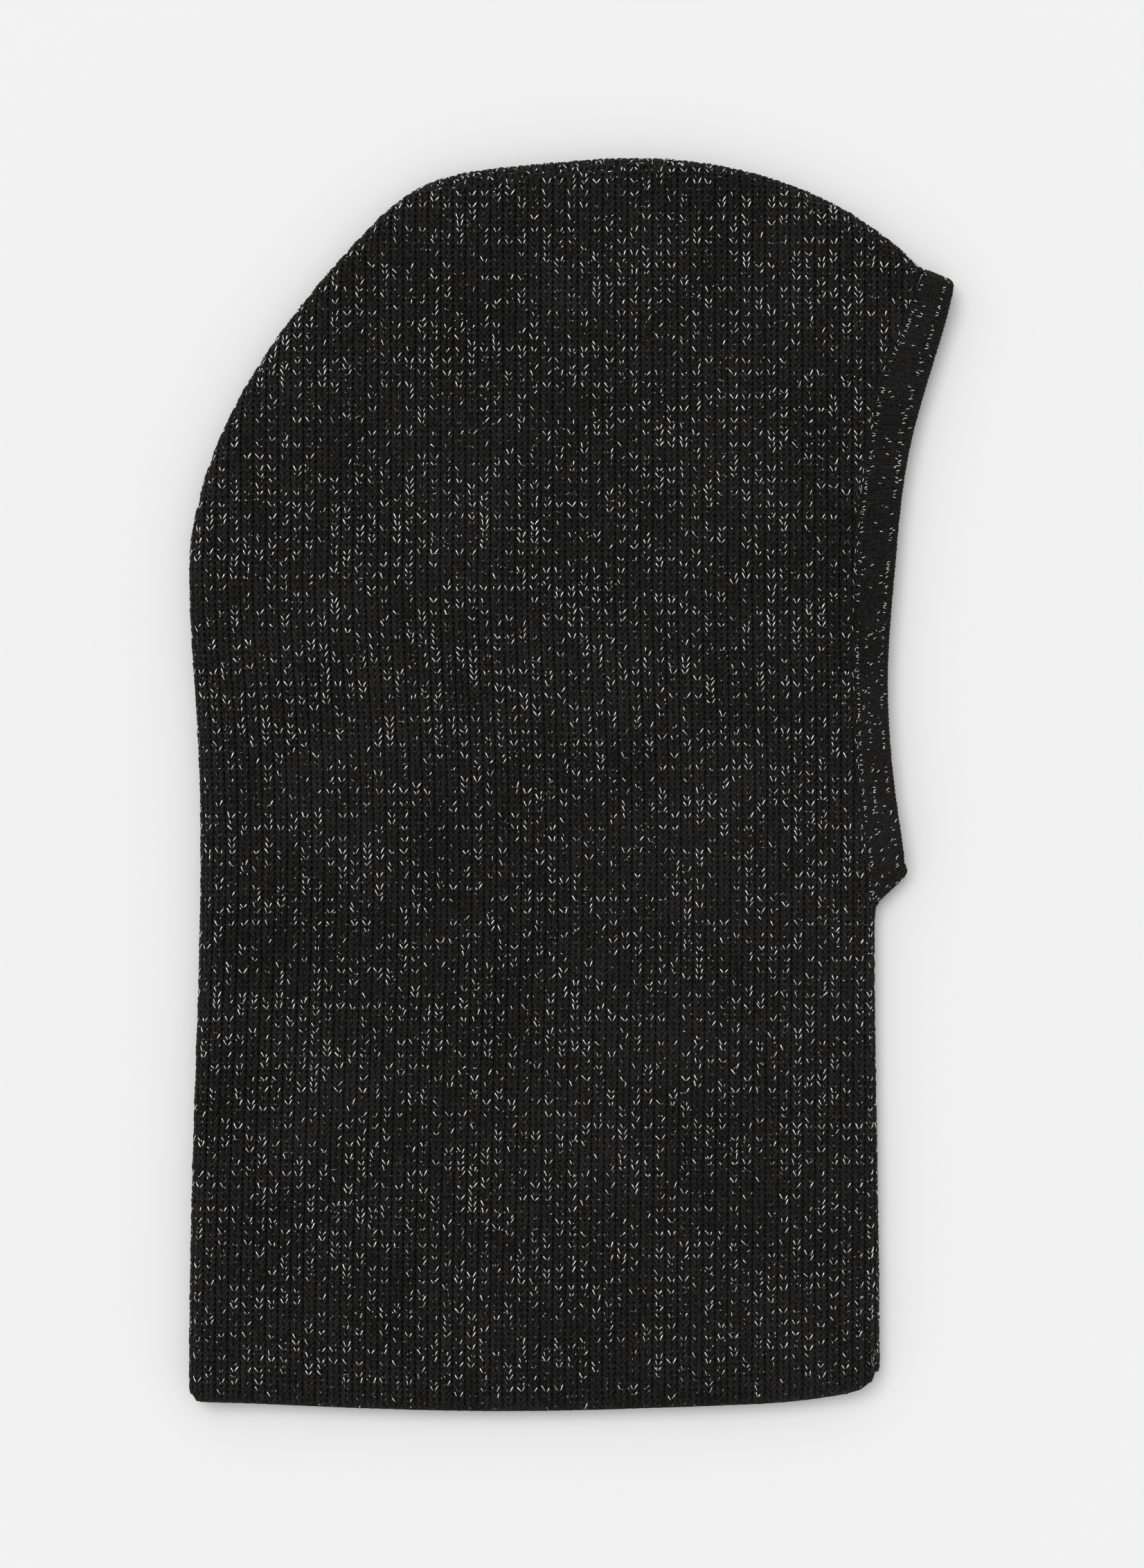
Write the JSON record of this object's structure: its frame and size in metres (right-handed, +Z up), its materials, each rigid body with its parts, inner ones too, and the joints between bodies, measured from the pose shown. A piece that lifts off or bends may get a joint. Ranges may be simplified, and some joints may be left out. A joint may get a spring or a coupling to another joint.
{
  "type": "balaclava",
  "caption": "Rib-knit balaclava laid flat on its side: hood panel turned over at the crown and throat, with a knitted band round the face opening.",
  "frame": {"origin": "on the supporting surface, under the middle of the outline", "axes": "+X from the back of the neck to the face, +Y from the hem to the crown, +Z up from the surface the hood lies on"},
  "size_m": [0.257, 0.4201, 0.012],
  "materials": {
    "rib_knit": "matte fuzzy one-by-one rib knit, black, with a fine metallic thread in it",
    "band_knit": "matte fine-gauge knit, black, with a fine metallic thread in it",
    "seam_yarn": "matte plied yarn, black",
    "label_satin": "blank woven satin tape, charcoal",
    "label_thread": "sewing thread, black"
  },
  "bodies": {
    "root": {"panel_near_side": "rib_knit", "panel_far_side": "rib_knit", "panel_back_fold": "rib_knit", "crown_turn_near": "rib_knit", "crown_turn_far": "rib_knit", "crown_seam": "seam_yarn", "throat_turn_near": "rib_knit", "throat_turn_far": "rib_knit", "throat_seam": "seam_yarn", "seam_end_knot": "seam_yarn", "face_band_near": "band_knit", "face_band_far": "band_knit", "face_band_top_turn": "band_knit", "face_band_chin_near": "band_knit", "face_band_chin_far": "band_knit", "chin_join": "seam_yarn", "linking_seam_near": "seam_yarn", "linking_seam_far": "seam_yarn", "care_label": "label_satin", "label_stitches": "label_thread"}
  },
  "joints": []
}
